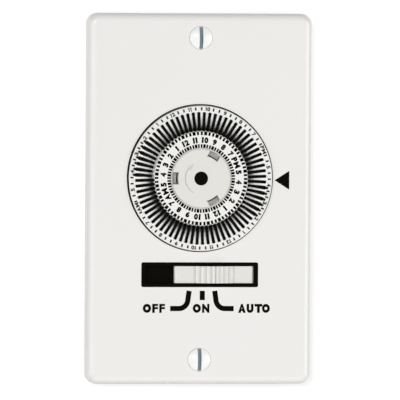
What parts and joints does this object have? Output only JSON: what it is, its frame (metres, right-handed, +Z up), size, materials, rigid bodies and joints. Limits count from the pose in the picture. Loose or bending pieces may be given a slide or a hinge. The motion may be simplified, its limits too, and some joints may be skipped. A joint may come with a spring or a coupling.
{
  "type": "wall timer switch",
  "caption": "Single-gang wall plate with a 24-hour mechanical timer dial, captive pull-out trippers round the dial, a three-position slide and a rear housing with screw terminals.",
  "frame": {"origin": "centre of the wall plate on the plane of the wall, midway between the two wall box holes", "axes": "X to the right as seen from the front, Y into the wall, Z up"},
  "size_m": [0.0698, 0.0395, 0.1142],
  "materials": {
    "plate_plastic": "smooth moulded white plastic",
    "screw_paint": "white paint over steel, bare in the slot",
    "strap_steel": "zinc plated sheet",
    "screw_steel": "zinc plated",
    "housing_plastic": "dark grey moulded plastic",
    "terminal_brass": "plain brass",
    "black_plastic": "black moulded plastic",
    "spring_steel": "spring steel strip",
    "contact_brass": "phosphor bronze",
    "knob_plastic": "satin off-white plastic",
    "dial_plastic": "satin white plastic with black printing",
    "hub_plastic": "satin off-white plastic",
    "tripper_plastic": "black moulded plastic",
    "arbor_steel": "blackened steel",
    "movement_brass": "stamped brass",
    "gear_plastic": "natural acetal",
    "motor_steel": "drawn steel",
    "lever_plastic": "dark acetal",
    "switch_plastic": "phenolic moulding",
    "plunger_plastic": "red moulded plastic"
  },
  "bodies": {
    "case": {"wall_plate": "plate_plastic", "plate_screws": "screw_paint", "mounting_strap": "strap_steel", "housing_screws": "screw_steel", "rear_housing": "housing_plastic", "terminal_plates": "terminal_brass", "terminal_screws": "terminal_brass", "slide_guide": "black_plastic", "detent_spring": "spring_steel", "selector_contacts": "contact_brass", "dial_bushing": "movement_brass", "idler_arbor": "screw_steel", "motor_cap": "motor_steel", "motor_case": "motor_steel", "movement_plate": "movement_brass", "pillars": "screw_steel", "movement_screws": "screw_steel", "lever_pivot": "screw_steel", "switch_case": "switch_plastic", "switch_terminals": "contact_brass"},
    "drive_gear": {"dial_gear": "gear_plastic"},
    "dial": {"dial_wheel": "dial_plastic", "dial_hub": "hub_plastic", "dial_arbor": "arbor_steel", "clutch_spring": "spring_steel", "arbor_clip": "spring_steel"},
    "idler": {"idler_gear": "gear_plastic"},
    "motor_shaft": {"motor_pinion": "movement_brass"},
    "slider": {"slide_carriage": "black_plastic", "slider_knob": "knob_plastic", "bridge_contact": "contact_brass"},
    "lever": {"switch_lever": "lever_plastic"},
    "plunger": {"switch_plunger": "plunger_plastic"},
    "trippers_am_12": {"trippers_am_12": "tripper_plastic"},
    "trippers_am_01": {"trippers_am_01": "tripper_plastic"},
    "trippers_am_02": {"trippers_am_02": "tripper_plastic"},
    "trippers_am_03": {"trippers_am_03": "tripper_plastic"},
    "trippers_am_04": {"trippers_am_04": "tripper_plastic"},
    "trippers_am_04_out": {"trippers_am_04_out": "tripper_plastic"},
    "trippers_am_05": {"trippers_am_05": "tripper_plastic"},
    "trippers_am_06": {"trippers_am_06": "tripper_plastic"},
    "trippers_am_07": {"trippers_am_07": "tripper_plastic"},
    "trippers_am_08": {"trippers_am_08": "tripper_plastic"},
    "trippers_am_09": {"trippers_am_09": "tripper_plastic"},
    "trippers_am_10": {"trippers_am_10": "tripper_plastic"},
    "trippers_am_11": {"trippers_am_11": "tripper_plastic"},
    "trippers_pm_12": {"trippers_pm_12": "tripper_plastic"},
    "trippers_pm_01": {"trippers_pm_01": "tripper_plastic"},
    "trippers_pm_02": {"trippers_pm_02": "tripper_plastic"},
    "trippers_pm_03": {"trippers_pm_03": "tripper_plastic"},
    "trippers_pm_04": {"trippers_pm_04": "tripper_plastic"},
    "trippers_pm_05": {"trippers_pm_05": "tripper_plastic"},
    "trippers_pm_06": {"trippers_pm_06": "tripper_plastic"},
    "trippers_pm_07": {"trippers_pm_07": "tripper_plastic"},
    "trippers_pm_08": {"trippers_pm_08": "tripper_plastic"},
    "trippers_pm_09": {"trippers_pm_09": "tripper_plastic"},
    "trippers_pm_10": {"trippers_pm_10": "tripper_plastic"},
    "trippers_pm_11": {"trippers_pm_11": "tripper_plastic"}
  },
  "joints": [
    {"name": "gear_drive", "type": "hinge", "parent": "case", "child": "drive_gear", "pos_m": [0, 0, 0.0063], "axis": [0, 1, 0], "continuous": true},
    {"name": "dial_set", "type": "hinge", "parent": "drive_gear", "child": "dial", "pos_m": [0, 0, 0.0063], "axis": [0, 1, 0], "continuous": true},
    {"name": "idler_turn", "type": "hinge", "parent": "case", "child": "idler", "pos_m": [-0.00882, 0, 0.02158], "axis": [0, 1, 0], "continuous": true},
    {"name": "motor_turn", "type": "hinge", "parent": "case", "child": "motor_shaft", "pos_m": [-0.00882, 0, 0.00898], "axis": [0, 1, 0], "continuous": true},
    {"name": "selector_slide", "type": "slide", "parent": "case", "child": "slider", "axis": [1, 0, 0], "range_m": [-0.0081, 0]},
    {"name": "lever_swing", "type": "hinge", "parent": "case", "child": "lever", "pos_m": [0.027, 0, -0.0075], "axis": [0, 1, 0], "range_deg": [0, 3.6], "stiffness_Nm_per_rad": 0.002},
    {"name": "plunger_press", "type": "slide", "parent": "case", "child": "plunger", "axis": [-1, 0, 0], "range_m": [0, 0.00045]},
    {"name": "slide_trippers_am_12", "type": "slide", "parent": "dial", "child": "trippers_am_12", "axis": [-0.5299, 0, 0.8481], "range_m": [0, 0.0008]},
    {"name": "slide_trippers_am_01", "type": "slide", "parent": "dial", "child": "trippers_am_01", "axis": [-0.7313, 0, 0.682], "range_m": [0, 0.0008]},
    {"name": "slide_trippers_am_02", "type": "slide", "parent": "dial", "child": "trippers_am_02", "axis": [-0.8829, 0, 0.4695], "range_m": [-0.0008, 0]},
    {"name": "slide_trippers_am_03", "type": "slide", "parent": "dial", "child": "trippers_am_03", "axis": [-0.9744, 0, 0.225], "range_m": [-0.0008, 0]},
    {"name": "slide_trippers_am_04", "type": "slide", "parent": "dial", "child": "trippers_am_04", "axis": [-0.9969, 0, -0.0785], "range_m": [0, 0.0008]},
    {"name": "slide_trippers_am_04_out", "type": "slide", "parent": "dial", "child": "trippers_am_04_out", "axis": [-0.9986, 0, 0.0523], "range_m": [-0.0008, 0]},
    {"name": "slide_trippers_am_05", "type": "slide", "parent": "dial", "child": "trippers_am_05", "axis": [-0.9563, 0, -0.2924], "range_m": [0, 0.0008]},
    {"name": "slide_trippers_am_06", "type": "slide", "parent": "dial", "child": "trippers_am_06", "axis": [-0.8481, 0, -0.5299], "range_m": [0, 0.0008]},
    {"name": "slide_trippers_am_07", "type": "slide", "parent": "dial", "child": "trippers_am_07", "axis": [-0.682, 0, -0.7313], "range_m": [0, 0.0008]},
    {"name": "slide_trippers_am_08", "type": "slide", "parent": "dial", "child": "trippers_am_08", "axis": [-0.4695, 0, -0.8829], "range_m": [0, 0.0008]},
    {"name": "slide_trippers_am_09", "type": "slide", "parent": "dial", "child": "trippers_am_09", "axis": [-0.225, 0, -0.9744], "range_m": [0, 0.0008]},
    {"name": "slide_trippers_am_10", "type": "slide", "parent": "dial", "child": "trippers_am_10", "axis": [0.0349, 0, -0.9994], "range_m": [0, 0.0008]},
    {"name": "slide_trippers_am_11", "type": "slide", "parent": "dial", "child": "trippers_am_11", "axis": [0.2924, 0, -0.9563], "range_m": [0, 0.0008]},
    {"name": "slide_trippers_pm_12", "type": "slide", "parent": "dial", "child": "trippers_pm_12", "axis": [0.5299, 0, -0.8481], "range_m": [0, 0.0008]},
    {"name": "slide_trippers_pm_01", "type": "slide", "parent": "dial", "child": "trippers_pm_01", "axis": [0.7313, 0, -0.682], "range_m": [0, 0.0008]},
    {"name": "slide_trippers_pm_02", "type": "slide", "parent": "dial", "child": "trippers_pm_02", "axis": [0.8829, 0, -0.4695], "range_m": [-0.0008, 0]},
    {"name": "slide_trippers_pm_03", "type": "slide", "parent": "dial", "child": "trippers_pm_03", "axis": [0.9744, 0, -0.225], "range_m": [-0.0008, 0]},
    {"name": "slide_trippers_pm_04", "type": "slide", "parent": "dial", "child": "trippers_pm_04", "axis": [0.9994, 0, 0.0349], "range_m": [0, 0.0008]},
    {"name": "slide_trippers_pm_05", "type": "slide", "parent": "dial", "child": "trippers_pm_05", "axis": [0.9563, 0, 0.2924], "range_m": [0, 0.0008]},
    {"name": "slide_trippers_pm_06", "type": "slide", "parent": "dial", "child": "trippers_pm_06", "axis": [0.8481, 0, 0.5299], "range_m": [0, 0.0008]},
    {"name": "slide_trippers_pm_07", "type": "slide", "parent": "dial", "child": "trippers_pm_07", "axis": [0.682, 0, 0.7313], "range_m": [0, 0.0008]},
    {"name": "slide_trippers_pm_08", "type": "slide", "parent": "dial", "child": "trippers_pm_08", "axis": [0.4695, 0, 0.8829], "range_m": [0, 0.0008]},
    {"name": "slide_trippers_pm_09", "type": "slide", "parent": "dial", "child": "trippers_pm_09", "axis": [0.225, 0, 0.9744], "range_m": [0, 0.0008]},
    {"name": "slide_trippers_pm_10", "type": "slide", "parent": "dial", "child": "trippers_pm_10", "axis": [-0.0349, 0, 0.9994], "range_m": [0, 0.0008]},
    {"name": "slide_trippers_pm_11", "type": "slide", "parent": "dial", "child": "trippers_pm_11", "axis": [-0.2924, 0, 0.9563], "range_m": [0, 0.0008]}
  ],
  "couplings": [
    {"joint": "idler_turn", "follows": "gear_drive", "ratio": -6},
    {"joint": "motor_turn", "follows": "gear_drive", "ratio": 24},
    {"joint": "plunger_press", "follows": "lever_swing", "m_per_rad": 0.007}
  ]
}
